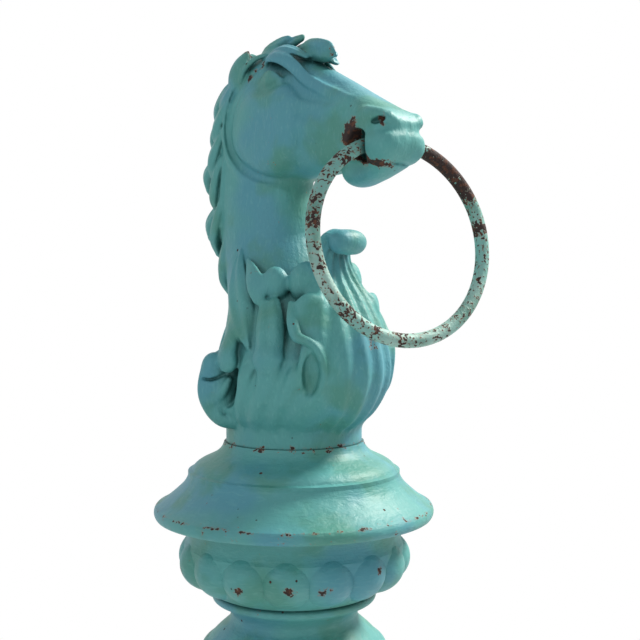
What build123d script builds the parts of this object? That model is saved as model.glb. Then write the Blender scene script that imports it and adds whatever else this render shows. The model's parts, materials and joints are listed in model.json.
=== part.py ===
"""Cast iron hitching post: a horse head with a tie ring, on a stepped cap and a fluted column.

Millimetres, +Z up. The origin is the centre of the foot, on the ground. The horse faces -Y, and
its right side is -X.
"""
from build123d import *
import os
from math import atan, cos, degrees, radians, sin, sqrt

# Heights above the ground. The top of the forelock comes to 1122.
HEAD_SEAT = 830.0
CAP_STEP = 809.0
RIM_TOP = 785.0
RIM_BOTTOM = 777.0
LOBE_MIDDLE = 747.0
LOBE_HALF_HEIGHT = 20.0
LIP_TOP = 723.0
NECKING = 706.0
CAPITAL_BOTTOM = 664.0
SHAFT_BOTTOM = 150.0
FOOT_THICKNESS = 16.0

# Radii of the turned forms.
COLLAR_R = 48.6
CAP_STEP_R = 74.0
RIM_R = 100.0
LOBE_R = 83.5
LOBE_CENTRE_R = 60.0
LOBE_TURN = -2.85
LIP_R = 59.0
NECKING_R = 45.8
ASTRAGAL_R = 67.0
SHAFT_TOP_R = 51.0
SHAFT_BOTTOM_R = 59.0
LOBES = 16
FLUTES = 16
FLUTE_R = 6.6

# Cores and seats of the hollow castings.
CORE_R = 37.0
HEAD_CORE_TOP = 874.0
CAPITAL_CORE_R = 52.0
SEAT_R = 36.0
SEAT_DEPTH = 6.0
SEAT_CLEARANCE = 0.3

# Foot and its fixing holes.
FOOT_ACROSS_FLATS = 280.0
FOOT_HOLE_R = 7.0
FOOT_PCD = 236.0
FOOT_CORE_R = 52.0
FOOT_CORE_TOP = 98.0
BRIDGE_SEAT = 34.0

# Tie rod that holds the castings together.
ROD_R = 8.0
ROD_TOP = 884.0
ROD_BOTTOM = 5.0
ROD_BOSS_R = 20.0
BRIDGE_SIZE = (98.0, 30.0, 10.0)
WASHER_R = 17.0
WASHER_THICKNESS = 3.0
NUT_ACROSS_FLATS = 24.0
NUT_HEIGHT = 13.0
ROD_HOLE_CLEARANCE = 0.6

# Locating pins that stop the castings turning on each other.
PIN_R = 3.0
PIN_LENGTH = 16.0
PIN_CLEARANCE = 0.05

# Ring, bent from 3/8 inch bar.
RING_R = 66.0
BAR_R = 4.75
RING_YAW = -15.6
RING_LEAN = 9.9
RING_CENTRE = Vector(2.6, -98.0, 970.4)
BORE_R = 8.2
MOUTH_HALF_WIDTH = 25.0


def place(solid, x, y, z, turn=(0, 0, 0)):
    """The solid turned about X, Y and Z, then moved to a place."""
    return Pos(x, y, z) * Rot(*turn) * solid


def ellipsoid(rx, ry, rz):
    """A closed solid with three different half axes."""
    return scale(Sphere(1.0), by=(rx, ry, rz))


def turned(outline):
    """A solid of revolution about Z from an outline in the XZ plane."""
    return revolve(make_face(outline), axis=Axis.Z)


def tube(radius, low, high):
    """A round plug from one height to another, used to bore the castings."""
    return Pos(0, 0, low) * Cylinder(radius, high - low, align=(Align.CENTER, Align.CENTER, Align.MIN))


def taper(low_radius, high_radius, low, high):
    """A tapered plug from one height to another."""
    align = (Align.CENTER, Align.CENTER, Align.MIN)
    return Pos(0, 0, low) * Cone(low_radius, high_radius, high - low, align=align)


def pins_at(height, radius):
    """Two locating pins, front and back of a joint, half in each casting."""
    pin = Cylinder(PIN_R, PIN_LENGTH)
    return [Pos(0, side * radius, height) * pin for side in (-1, 1)]


def pin_holes(height, radius):
    """The holes that those pins stand in, a little deeper and wider."""
    hole = Cylinder(PIN_R + PIN_CLEARANCE, PIN_LENGTH + 1.0)
    return [Pos(0, side * radius, height) * hole for side in (-1, 1)]


def ring_axes():
    """The ring's sideways and upward directions, and its normal."""
    side = Vector(cos(radians(RING_YAW)), sin(radians(RING_YAW)), 0)
    flat_normal = side.cross(Vector(0, 0, 1))
    lean = radians(RING_LEAN)
    up = Vector(0, 0, 1) * cos(lean) - flat_normal * sin(lean)
    return side, up, side.cross(up)


def bar_at(offset):
    """The bar's centre where it is this far sideways of the ring's top."""
    side, up, _ = ring_axes()
    return RING_CENTRE + side * offset + up * sqrt(RING_R**2 - offset**2)


def ring_pivot():
    """A point on the line that the ring swings about, and that line's direction."""
    side, _, _ = ring_axes()
    right = bar_at((-MOUTH_HALF_WIDTH - RING_CENTRE.X) / side.X)
    left = bar_at((MOUTH_HALF_WIDTH - RING_CENTRE.X) / side.X)
    along = (left - right).normalized()
    chord = (left - right).length
    rise = RING_R - sqrt(RING_R**2 - (chord / 2) ** 2)
    outward = (((left + right) * 0.5) - RING_CENTRE).normalized()
    return (left + right) * 0.5 + outward * (rise / 2), along


def mouth_ring():
    _, _, normal = ring_axes()
    return Plane(origin=RING_CENTRE, z_dir=normal) * Torus(RING_R, BAR_R)


# The neck: height, how far forward its middle is, half depth and half width.
NECK_SECTIONS = (
    (842.0, 0.0, 48.3, 48.3),
    (850.0, 2.0, 57.0, 57.0),
    (862.0, 5.0, 62.0, 60.0),
    (880.0, 7.0, 63.0, 61.0),
    (900.0, 5.0, 57.0, 52.0),
    (925.0, -3.0, 50.0, 44.0),
    (950.0, -15.0, 42.0, 36.0),
    (975.0, -26.0, 40.0, 31.0),
    (1005.0, -31.0, 43.0, 29.0),
    (1040.0, -32.0, 42.0, 29.0),
    (1070.0, -28.0, 36.0, 27.0),
    (1092.0, -22.0, 27.0, 21.0),
    (1103.0, -16.0, 12.0, 10.0),
)
# The head: how far forward, top, bottom, half width and corner radius.
HEAD_SECTIONS = (
    (-40.0, 1078.0, 1036.0, 17.0, 14.0),
    (-26.0, 1097.0, 1023.0, 24.0, 18.0),
    (-8.0, 1106.0, 1016.0, 27.0, 20.0),
    (14.0, 1101.0, 1016.0, 26.0, 18.0),
    (38.0, 1089.0, 1019.0, 22.0, 15.0),
    (58.0, 1078.0, 1020.0, 20.0, 13.0),
    (76.0, 1068.0, 1017.0, 22.0, 13.0),
    (92.0, 1059.0, 1016.0, 22.5, 12.0),
    (104.0, 1053.0, 1020.0, 19.5, 9.0),
    (110.0, 1049.0, 1027.0, 14.5, 7.0),
)
# The mane's locks: how far back, height, lean, half length, half depth and half width.
MANE_LOCKS = (
    (50.0, 1094.0, -50.0, 17.0, 11.0, 14.0),
    (62.0, 1079.0, -38.0, 16.0, 12.0, 17.0),
    (67.0, 1064.0, -15.0, 17.0, 13.0, 19.0),
    (68.0, 1044.0, -2.0, 20.0, 13.0, 20.0),
    (75.0, 1022.0, 8.0, 20.0, 16.0, 19.0),
    (72.0, 983.0, 14.0, 27.0, 14.0, 19.0),
    (56.0, 947.0, 24.0, 25.0, 13.0, 19.0),
)
# The leaf up the chest: height, how far forward, half thickness and half width.
LEAF_SECTIONS = (
    (848.0, 38.0, 16.0, 26.0),
    (864.0, 49.0, 22.0, 38.0),
    (886.0, 53.0, 21.0, 41.0),
    (908.0, 50.0, 17.0, 41.0),
    (926.0, 47.0, 13.0, 36.0),
    (942.0, 45.0, 9.0, 28.0),
    (956.0, 44.0, 6.5, 18.0),
    (970.0, 45.0, 5.0, 13.0),
)
LEAF_TIP_R = 7.5
LEAF_TIP_WIDTH = 30.0
LEAF_VEINS = (-0.66, -0.33, 0.0, 0.33, 0.66)
VEIN_R = 2.2
# The scrolls at the rear corners.
SCROLL_R = 19.0
SCROLL_WIDTH = 66.0
SCROLL_REACH = 47.0
SCROLL_HEIGHT = 867.5
SCROLL_ANGLE = 50.0
# The ring's slot through the mouth.
SLOT_HEIGHT = 22.0
SLOT_WIDTH = 16.6


def upright_ellipse(height, forward, half_depth, half_width):
    return Pos(0, -forward, height) * Ellipse(half_width, half_depth)


def neck():
    """The arched neck, lofted through ellipses from the round foot to the crown."""
    return loft(Sketch() + [upright_ellipse(*section) for section in NECK_SECTIONS])


def skull():
    """The head, lofted through round-cornered sections from the back of the jaw to the lips."""
    faces = []
    for forward, top, bottom, half_width, corner in HEAD_SECTIONS:
        section = Plane(origin=(0, -forward, (top + bottom) / 2), x_dir=(1, 0, 0), z_dir=(0, -1, 0))
        faces.append(section * RectangleRounded(2 * half_width, top - bottom, corner * 0.98))
    return loft(Sketch() + faces)


def paired(solid):
    """A form on the horse's right side, and its mirror image on the left."""
    return [solid, mirror(solid, about=Plane.YZ)]


def head_details():
    """Round jaws, cheekbones, brows, eyes, laid-back ears and nostrils, on both sides."""
    forms = []
    forms += paired(place(ellipsoid(13, 31, 30), -17, 11, 1047))
    forms += paired(place(ellipsoid(9, 27, 9), -16, -30, 1056, (-20, 0, 0)))
    forms += paired(place(ellipsoid(9, 15, 7), -19, -3, 1091, (-16, 0, 0)))
    forms += paired(place(Sphere(6.0), -22.5, -3, 1082.5))
    forms += paired(place(ellipsoid(7, 9, 18), -19, 27, 1095, (-32, 0, 0)))
    forms += paired(place(ellipsoid(9, 10, 10), -14.5, -97, 1044))
    return forms


def forelock():
    """Leaf shaped locks that stand over the forehead, the tallest at the poll."""
    return [
        place(ellipsoid(8, 8, 14), 4, 13, 1107, (-34, 0, 0)),
        place(ellipsoid(8, 9, 15), -1, 0, 1108, (32, 0, 0)),
        place(ellipsoid(9, 18, 7), 2, -24, 1103, (-10, 0, 0)),
    ]


def chin():
    """The lower jaw, narrower than the lips above it, with the chin under its end."""
    jaw = place(ellipsoid(15, 42, 13), 0, -44, 1028, (-6, 0, 0))
    return [jaw, place(ellipsoid(14, 24, 11), 0, -70, 1017.5, (14, 0, 0))]


def mane():
    """Overlapping locks along the crest of the neck."""
    return [
        place(ellipsoid(half_width, depth, length), 0, back, height, (lean, 0, 0))
        for back, height, lean, length, depth, half_width in MANE_LOCKS
    ]


def chest_leaf():
    """The broad leaf up the chest, with its narrow tip rolled forward."""
    blade = loft(Sketch() + [upright_ellipse(*section) for section in LEAF_SECTIONS])
    tip_height, tip_forward = LEAF_SECTIONS[-1][:2]
    roll = Cylinder(LEAF_TIP_R, LEAF_TIP_WIDTH - 2 * LEAF_TIP_R)
    for side in (-1, 1):
        roll += Pos(0, 0, side * (LEAF_TIP_WIDTH / 2 - LEAF_TIP_R)) * Sphere(LEAF_TIP_R)
    return [blade, place(roll, 0, -tip_forward - 3, tip_height, (0, 90, 0))]


def leaf_veins():
    """Grooves up the chest leaf that draw together towards its tip, each at its share of the width."""
    veins = []
    for share in LEAF_VEINS:
        points = []
        for height, forward, half_thickness, half_width in LEAF_SECTIONS[1:-1]:
            front = forward + half_thickness * sqrt(1 - share**2)
            points.append(Vector(share * half_width, -front, height))
        path = Edge.make_spline(points)
        veins.append(sweep(Plane(origin=path @ 0, z_dir=path % 0) * Circle(VEIN_R), path=path))
    return veins


def side_leaves():
    """A tongue and a flank leaf on each side."""
    forms = []
    forms += paired(place(ellipsoid(9, 14, 27), -46, -30, 908, (8, -10, 30)))
    forms += paired(place(ellipsoid(8, 13, 36), -40, 8, 925, (-10, 14, 0)))
    return forms


def scroll():
    """The rolled end of a leaf at the rear right corner, with its eye."""
    angle = radians(SCROLL_ANGLE)
    away = Vector(-sin(angle), cos(angle), 0)
    seat = Plane(origin=away * SCROLL_REACH + Vector(0, 0, SCROLL_HEIGHT), z_dir=(-cos(angle), -sin(angle), 0))
    roll = Cylinder(SCROLL_R, SCROLL_WIDTH)
    face = SCROLL_WIDTH / 2
    roll -= Pos(0, 0, face) * Cylinder(0.62 * SCROLL_R, 9)
    roll += Pos(0, 0, face - 4) * Sphere(0.36 * SCROLL_R)
    return seat * roll


def hollows():
    """Hollows beside the chest leaf, in the ears and nostrils and along the lips, on both sides."""
    forms = paired(place(ellipsoid(7, 10, 19), -40, -62, 877, (0, 0, 30)))
    forms += paired(place(ellipsoid(3.5, 6, 13), -25, 25, 1095, (-32, 0, 0)))
    forms += paired(place(ellipsoid(5, 6, 3.2), -21, -104, 1049.5, (20, 0, 0)))
    forms += paired(place(ellipsoid(5, 16, 1.3), -21, -98, 1022.5))
    return forms


def mouth_slot():
    """The slot through the mouth, along the line that the ring swings about."""
    centre, along = ring_pivot()
    seat = Plane(origin=centre, x_dir=ring_axes()[1].cross(along).cross(along) * -1, z_dir=along)
    profile = SlotOverall(SLOT_HEIGHT, SLOT_WIDTH)
    return extrude(seat * profile, 45, both=True)


def horse_head():
    solid = neck() + skull()
    for form in head_details() + chin() + forelock() + mane() + chest_leaf() + side_leaves():
        solid += form
    for form in paired(scroll()):
        solid += form
    solid += tube(COLLAR_R, HEAD_SEAT, 845)
    for hollow in hollows() + leaf_veins():
        solid -= hollow
    solid -= mouth_slot()
    solid -= tube(CORE_R, HEAD_SEAT, HEAD_CORE_TOP) - tube(ROD_BOSS_R, HEAD_SEAT + 20, HEAD_CORE_TOP)
    solid -= tube(ROD_R + PIN_CLEARANCE, HEAD_SEAT, ROD_TOP + 4)
    for hole in pin_holes(HEAD_SEAT, 42.0):
        solid -= hole
    return solid


def stepped_cap():
    """Two ogee tiers from the head's seat out to the rim, hollow below."""
    with BuildLine(Plane.XZ) as outline:
        Polyline((0, HEAD_SEAT), (COLLAR_R + 1.5, HEAD_SEAT))
        Spline(
            (COLLAR_R + 1.5, HEAD_SEAT),
            (COLLAR_R + 8.5, HEAD_SEAT - 9),
            (CAP_STEP_R - 1.0, CAP_STEP + 1.5),
            tangents=((0.25, -1), (0.5, -1)),
        )
        Polyline(
            (CAP_STEP_R - 1.0, CAP_STEP + 1.5),
            (CAP_STEP_R + 1.8, CAP_STEP + 0.5),
            (CAP_STEP_R + 1.8, CAP_STEP - 2.5),
        )
        Spline(
            (CAP_STEP_R + 1.8, CAP_STEP - 2.5),
            (CAP_STEP_R + 10.5, CAP_STEP - 14),
            (RIM_R - 1.5, RIM_TOP),
            tangents=((0.3, -1), (1, -0.45)),
        )
        ThreePointArc((RIM_R - 1.5, RIM_TOP), (RIM_R, RIM_TOP - 4), (RIM_R - 1.5, RIM_BOTTOM))
        Polyline((RIM_R - 1.5, RIM_BOTTOM), (0, RIM_BOTTOM), (0, HEAD_SEAT))
    solid = turned(outline.line)
    solid += tube(SEAT_R, HEAD_SEAT, HEAD_SEAT + SEAT_DEPTH)
    solid -= taper(CAPITAL_CORE_R, 30, RIM_BOTTOM, RIM_BOTTOM + 40)
    solid -= tube(ROD_R + ROD_HOLE_CLEARANCE, RIM_BOTTOM, HEAD_SEAT + SEAT_DEPTH)
    for hole in pin_holes(HEAD_SEAT, 42.0) + pin_holes(RIM_BOTTOM, 70.0):
        solid -= hole
    return solid


def gadroon():
    """One round-headed lobe of the capital, drawn in to the lip at its foot."""
    depth = LOBE_R - LOBE_CENTRE_R
    return Pos(LOBE_CENTRE_R, 0, LOBE_MIDDLE) * ellipsoid(depth, 22.0, LOBE_HALF_HEIGHT)


def gadroon_capital():
    """The lobed echinus, its lip, the narrow neck and the astragal over the shaft."""
    with BuildLine(Plane.XZ) as outline:
        Polyline((0, RIM_BOTTOM), (81, RIM_BOTTOM))
        ThreePointArc((81, RIM_BOTTOM), (76.5, RIM_BOTTOM - 7), (78.5, LIP_TOP + 35))
        Spline(
            (78.5, LIP_TOP + 35),
            (74, LIP_TOP + 13),
            (LIP_R - 2, LIP_TOP),
            tangents=((0.1, -1), (-1, -0.4)),
        )
        ThreePointArc(
            (LIP_R - 2, LIP_TOP), (LIP_R, LIP_TOP - 3.5), (LIP_R - 2.5, LIP_TOP - 6.5)
        )
        Spline(
            (LIP_R - 2.5, LIP_TOP - 6.5),
            (NECKING_R, NECKING),
            (62, 687),
            tangents=((-1, -0.3), (0.8, -1)),
        )
        ThreePointArc((62, 687), (ASTRAGAL_R, 680), (62, 673))
        Polyline((62, 673), (56, 671), (56, CAPITAL_BOTTOM), (0, CAPITAL_BOTTOM), (0, RIM_BOTTOM))
    solid = turned(outline.line)
    for lobe in PolarLocations(0, LOBES, start_angle=LOBE_TURN):
        solid += lobe * gadroon()
    keep = tube(RIM_R, CAPITAL_BOTTOM, RIM_BOTTOM)
    solid &= keep
    solid -= tube(34, CAPITAL_BOTTOM, LIP_TOP)
    solid -= taper(34, CAPITAL_CORE_R, LIP_TOP - 5, LIP_TOP + 14)
    solid -= tube(CAPITAL_CORE_R, LIP_TOP + 14, RIM_BOTTOM)
    solid -= tube(SEAT_R + 5 + SEAT_CLEARANCE, CAPITAL_BOTTOM, CAPITAL_BOTTOM + SEAT_DEPTH)
    for hole in pin_holes(RIM_BOTTOM, 70.0) + pin_holes(CAPITAL_BOTTOM, 48.0):
        solid -= hole
    return solid


def shaft_flute():
    """One hollow of the shaft, round-ended, following the taper."""
    low, high = SHAFT_BOTTOM + 34, CAPITAL_BOTTOM - 26
    slope = (SHAFT_BOTTOM_R - SHAFT_TOP_R) / (CAPITAL_BOTTOM - SHAFT_BOTTOM)
    radius = SHAFT_BOTTOM_R - slope * ((low + high) / 2 - SHAFT_BOTTOM) + 2.2
    groove = Cylinder(FLUTE_R, high - low)
    ends = [Pos(0, 0, side * (high - low) / 2) * Sphere(FLUTE_R) for side in (-1, 1)]
    return place(groove + ends, 0, -radius, (low + high) / 2, (-degrees(atan(slope)), 0, 0))


def fluted_shaft():
    solid = taper(SHAFT_BOTTOM_R, SHAFT_TOP_R, SHAFT_BOTTOM, CAPITAL_BOTTOM)
    for flute in PolarLocations(0, FLUTES, start_angle=360 / FLUTES / 2):
        solid -= flute * shaft_flute()
    solid += tube(SEAT_R + 5, CAPITAL_BOTTOM, CAPITAL_BOTTOM + SEAT_DEPTH - 0.5)
    solid -= tube(CORE_R - 2, SHAFT_BOTTOM, CAPITAL_BOTTOM + SEAT_DEPTH)
    solid -= tube(SEAT_R + 5 + SEAT_CLEARANCE, SHAFT_BOTTOM, SHAFT_BOTTOM + SEAT_DEPTH)
    for hole in pin_holes(CAPITAL_BOTTOM, 48.0) + pin_holes(SHAFT_BOTTOM, 50.0):
        solid -= hole
    return solid


def bridge_lugs():
    """Two lugs inside the foot, which the bridge bar pulls up against."""
    lug = Box(22, 40, 26, align=(Align.CENTER, Align.CENTER, Align.MIN))
    return [Pos(side * (FOOT_CORE_R - 1), 0, BRIDGE_SEAT) * lug for side in (-1, 1)]


def moulded_base():
    """Torus, scotia and torus over a bell, on an octagonal foot with four bolt holes."""
    with BuildLine(Plane.XZ) as outline:
        Polyline((0, SHAFT_BOTTOM), (63, SHAFT_BOTTOM))
        ThreePointArc((63, SHAFT_BOTTOM), (70, SHAFT_BOTTOM - 8), (63, SHAFT_BOTTOM - 16))
        Polyline((63, SHAFT_BOTTOM - 16), (64, SHAFT_BOTTOM - 19))
        ThreePointArc((64, SHAFT_BOTTOM - 19), (65, SHAFT_BOTTOM - 32), (77, SHAFT_BOTTOM - 42))
        Polyline((77, SHAFT_BOTTOM - 42), (80, SHAFT_BOTTOM - 44))
        ThreePointArc((80, SHAFT_BOTTOM - 44), (91, SHAFT_BOTTOM - 56), (80, SHAFT_BOTTOM - 68))
        Polyline((80, SHAFT_BOTTOM - 68), (84, SHAFT_BOTTOM - 71))
        Spline(
            (84, SHAFT_BOTTOM - 71),
            (89, 46),
            (108, FOOT_THICKNESS + 6),
            tangents=((0, -1), (1, -0.1)),
        )
        Polyline((108, FOOT_THICKNESS + 6), (108, 0), (0, 0), (0, SHAFT_BOTTOM))
    solid = turned(outline.line)
    octagon = RegularPolygon(FOOT_ACROSS_FLATS / 2, 8, major_radius=False, rotation=22.5)
    foot = extrude(octagon, FOOT_THICKNESS)
    solid += chamfer(foot.faces().sort_by(Axis.Z)[-1].edges(), 4)
    solid += tube(SEAT_R + 5, SHAFT_BOTTOM, SHAFT_BOTTOM + SEAT_DEPTH - 0.5)
    solid -= tube(CORE_R - 2, 0, SHAFT_BOTTOM + SEAT_DEPTH)
    solid -= tube(FOOT_CORE_R, 0, FOOT_CORE_TOP) - bridge_lugs()
    solid -= taper(FOOT_CORE_R, CORE_R - 2, FOOT_CORE_TOP, FOOT_CORE_TOP + 36)
    for hole in PolarLocations(FOOT_PCD / 2, 4, start_angle=45):
        solid -= hole * Cylinder(FOOT_HOLE_R, 4 * FOOT_THICKNESS)
    for hole in pin_holes(SHAFT_BOTTOM, 50.0):
        solid -= hole
    return solid


def base_bridge_bar():
    length, width, thickness = BRIDGE_SIZE
    bar = Pos(0, 0, BRIDGE_SEAT - thickness / 2) * Box(length, width, thickness)
    return bar - tube(ROD_R + ROD_HOLE_CLEARANCE, 0, BRIDGE_SEAT)


def tie_rod():
    rod = tube(ROD_R, ROD_BOTTOM, ROD_TOP)
    return chamfer(rod.edges().filter_by(GeomType.CIRCLE), 1.5)


def tie_rod_washer():
    top = BRIDGE_SEAT - BRIDGE_SIZE[2]
    disc = tube(WASHER_R, top - WASHER_THICKNESS, top)
    return disc - tube(ROD_R + 0.5, 0, BRIDGE_SEAT)


def tie_rod_nut():
    top = BRIDGE_SEAT - BRIDGE_SIZE[2] - WASHER_THICKNESS
    prism = extrude(RegularPolygon(NUT_ACROSS_FLATS / 2, 6, major_radius=False), NUT_HEIGHT)
    bevel = taper(13.0, 15.4, 0, 2.4) + tube(15.4, 2.4, NUT_HEIGHT)
    nut = Pos(0, 0, top - NUT_HEIGHT) * (prism & bevel)
    return nut - tube(ROD_R + PIN_CLEARANCE, 0, BRIDGE_SEAT)


def locating_pins():
    pins = pins_at(HEAD_SEAT, 42.0) + pins_at(RIM_BOTTOM, 70.0)
    pins += pins_at(CAPITAL_BOTTOM, 48.0) + pins_at(SHAFT_BOTTOM, 50.0)
    return Compound(children=[pin.solid() for pin in pins])


MAKERS = (
    horse_head,
    stepped_cap,
    gadroon_capital,
    fluted_shaft,
    moulded_base,
    base_bridge_bar,
    tie_rod,
    tie_rod_washer,
    tie_rod_nut,
    locating_pins,
    mouth_ring,
)

os.makedirs("parts", exist_ok=True)
for maker in MAKERS:
    shape = maker()
    export_step(shape, f"parts/{maker.__name__}.step")
    print(maker.__name__, len(shape.solids()), round(shape.volume))
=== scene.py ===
# %% [markdown]
# # A painted cast iron hitching post
#
# The real post is a set of iron castings stacked on a hidden rod: a foot, a fluted shaft, a lobed
# capital, a stepped cap and a horse's head that holds a loose ring in its mouth. Thick turquoise
# paint covers everything, and rust shows wherever metal knocks on metal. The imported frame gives
# every piece in its true place, in metres, with +Z up and the horse facing -Y.

# %% Load the frame
import json
import math
import bpy
import numpy as np
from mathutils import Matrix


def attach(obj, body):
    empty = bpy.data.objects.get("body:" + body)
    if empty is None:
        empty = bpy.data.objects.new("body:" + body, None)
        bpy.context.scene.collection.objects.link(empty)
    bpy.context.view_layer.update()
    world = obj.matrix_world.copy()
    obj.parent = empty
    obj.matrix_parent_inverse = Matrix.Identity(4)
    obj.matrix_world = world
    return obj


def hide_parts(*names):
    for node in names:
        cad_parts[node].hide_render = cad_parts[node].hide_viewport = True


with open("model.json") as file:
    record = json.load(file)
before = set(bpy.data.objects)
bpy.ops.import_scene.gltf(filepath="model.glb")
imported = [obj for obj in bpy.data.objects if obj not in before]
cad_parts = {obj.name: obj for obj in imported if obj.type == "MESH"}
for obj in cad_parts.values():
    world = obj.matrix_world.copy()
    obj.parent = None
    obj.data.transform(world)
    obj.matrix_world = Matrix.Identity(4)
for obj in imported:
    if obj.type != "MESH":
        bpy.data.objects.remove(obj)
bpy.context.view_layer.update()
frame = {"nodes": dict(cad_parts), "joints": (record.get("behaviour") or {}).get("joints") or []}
import openvdb
from mathutils import Vector
nodes = frame["nodes"]
print("castings and fittings:", ", ".join(sorted(nodes)))

# %% [markdown]
# ## Places on the horse
#
# Places on a horse are easier to give as a rider points at them: so far forward, so far to the
# horse's right, and so high, in millimetres. The two sides of the real casting match, so most places
# are given once, for the right side, which the photograph shows, and mirrored to the left.

# %% Places on the horse
def at(forward, right, height):
    """A place by its distance forward of the post's centre, to the horse's right, and up."""
    return np.array((-right, -forward, height), float)


def around(angle, radius, height):
    """A place by its angle round the post, from the chest towards the horse's right side."""
    turn = math.radians(angle)
    return at(radius * math.cos(turn), radius * math.sin(turn), height)


def flip(value):
    """A place, or a list of places, on the other side of the horse."""
    if isinstance(value, list):
        return [flip(place) for place in value]
    return np.array(value) * (-1, 1, 1)[:len(value)]


def both_sides(maker, places, sizes):
    """A lump on the horse's right, and the same lump on its left."""
    left = {name: flip(value) if name in ("face", "facing") else value for name, value in sizes.items()}
    return maker(*places, **sizes), maker(*[flip(place) for place in places], **left)


print("the tip of the chest leaf is at", at(55, 0, 970), "mm")

# %% [markdown]
# ## Clay
#
# A founder's pattern for such a head starts as clay. It could be pushed out of a ball with a sculpting
# brush, but a script can't repeat a hand's strokes. Here the clay is a block of small cells, and each
# cell holds its distance to the surface in millimetres, negative inside. Adding a lump takes the
# smaller of two distances and a cut takes the larger, with a fillet between them, which is just how
# wet clay or poured iron fills a corner.

# %% The clay block
CELL = 0.9
OPEN_AIR = 30.0
MARGIN = 2.0


def joined(one, other, fillet):
    """The smaller of two distances, with a fillet this wide between the forms."""
    mix = np.maximum(fillet - np.abs(one - other), 0) / fillet
    return np.minimum(one, other) - mix * mix * fillet / 4


def pared(one, other, rounding):
    """The larger of two distances, with the edge between the forms rounded."""
    mix = np.maximum(rounding - np.abs(one - other), 0) / rounding
    return np.maximum(one, other) + mix * mix * rounding / 4


class Clay:
    """A block of cells, each with its distance to the clay's surface."""

    def __init__(self, low, high):
        self.axes = [np.arange(a, b, CELL, dtype=np.float32) for a, b in zip(low, high)]
        self.depth = np.full([len(a) for a in self.axes], OPEN_AIR, np.float32)

    def part(self, low, high):
        """The cells inside a box, and their coordinates."""
        cuts = tuple(
            slice(int(np.searchsorted(axis, a)), int(np.searchsorted(axis, b)))
            for axis, a, b in zip(self.axes, low, high)
        )
        x, y, z = (axis[cut] for axis, cut in zip(self.axes, cuts))
        return cuts, x[:, None, None], y[None, :, None], z[None, None, :]

    def add(self, form, soft=2.0):
        low, high, distance = form
        cuts, x, y, z = self.part(low - soft - MARGIN, high + soft + MARGIN)
        self.depth[cuts] = joined(distance(x, y, z), self.depth[cuts], soft)

    def cut(self, form, soft=2.0):
        low, high, distance = form
        cuts, x, y, z = self.part(low - soft - MARGIN, high + soft + MARGIN)
        self.depth[cuts] = pared(-distance(x, y, z), self.depth[cuts], soft)

    def add_pair(self, maker, *places, soft=2.0, **sizes):
        """The same lump on both sides of the horse."""
        for form in both_sides(maker, places, sizes):
            self.add(form, soft)

    def cut_pair(self, maker, *places, soft=2.0, **sizes):
        """The same cut on both sides of the horse."""
        for form in both_sides(maker, places, sizes):
            self.cut(form, soft)


print("clay cells are", CELL, "mm")

# %% [markdown]
# ## Eggs and discs
#
# Modellers press in balls of clay for every swelling: an eye, a lip, the pads of a leaf. An egg is such
# a ball with three different radii, which can be tilted or turned to face away from the post. A disc
# is for the flat round of the jaw. Both are one line of arithmetic per cell, so they cost little.

# %% Eggs and discs
def turning(angles):
    """The axes of a frame turned about X, then Y, then Z, in degrees."""
    cx, cy, cz = (math.cos(math.radians(a)) for a in angles)
    sx, sy, sz = (math.sin(math.radians(a)) for a in angles)
    about_x = np.array(((1, 0, 0), (0, cx, -sx), (0, sx, cx)))
    about_y = np.array(((cy, 0, sy), (0, 1, 0), (-sy, 0, cy)))
    about_z = np.array(((cz, -sz, 0), (sz, cz, 0), (0, 0, 1)))
    return about_z @ about_y @ about_x


def rounded(parts, radii):
    """Distance to an egg or an oval, from offsets that are given as parts of its radii."""
    size = np.sqrt(sum(q * q for q in parts)) + 1e-6
    slope = np.sqrt(sum((q / r) ** 2 for q, r in zip(parts, radii))) + 1e-6
    return size * (size - 1) / slope


def egg(place, radii, tilt=(0, 0, 0), facing=None):
    """An egg with radii across, along and up. Seen from above, across points away from facing."""
    centre = np.array(place, float)
    turn = turning(tilt)
    if facing is not None:
        swing = math.degrees(math.atan2(centre[1] - facing[1], centre[0] - facing[0]))
        turn = turning((0, 0, swing)) @ turn
    reach = np.sqrt(((turn * np.array(radii)) ** 2).sum(1))

    def distance(x, y, z):
        offset = [x - centre[0], y - centre[1], z - centre[2]]
        parts = [sum(offset[i] * turn[i, j] for i in range(3)) / radii[j] for j in range(3)]
        return rounded(parts, radii)

    return centre - reach, centre + reach, distance


def disc(place, radius, thick, rounding):
    """A flat round that faces sideways, with a rounded rim."""
    centre = np.array(place, float)
    reach = np.array((thick, radius, radius))

    def distance(x, y, z):
        rim = np.hypot(y - centre[1], z - centre[2]) - radius
        return pared(rim, np.abs(x - centre[0]) - thick, rounding)

    return centre - reach, centre + reach, distance


print("an egg 10 mm long needs", round(10 / CELL), "cells along it")

# %% [markdown]
# ## Blades
#
# Hair, leaves and folds are long, so they are drawn as blades. A blade has a centre line through a few
# places, a width and a thickness that change along it, grooves, and a bow across its width, so it can
# lie round a neck or curl over at its tip. Each cell is matched with the spot on the line that is
# square to it, found in two steps, since the nearest of the line's places alone would leave facets.

# %% Blades
STEPS_PER_SPAN = 8
SLIDE = 0.75


def bend(points, count):
    """A smooth line through the points, with that many places on it, and where each is from 0 to 1."""
    points = np.array(points, float)
    ends = np.vstack((2 * points[0] - points[1], points, 2 * points[-1] - points[-2]))
    along = np.linspace(0, len(points) - 1, count)
    start = np.minimum(along.astype(int), len(points) - 2)
    t = (along - start)[:, None]
    a, b, c, d = (ends[start + i] for i in range(4))
    line = 0.5 * (2 * b + (c - a) * t + (2 * a - 5 * b + 4 * c - d) * t**2 + (3 * b - a - 3 * c + d) * t**3)
    return line, along / (len(points) - 1)


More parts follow.
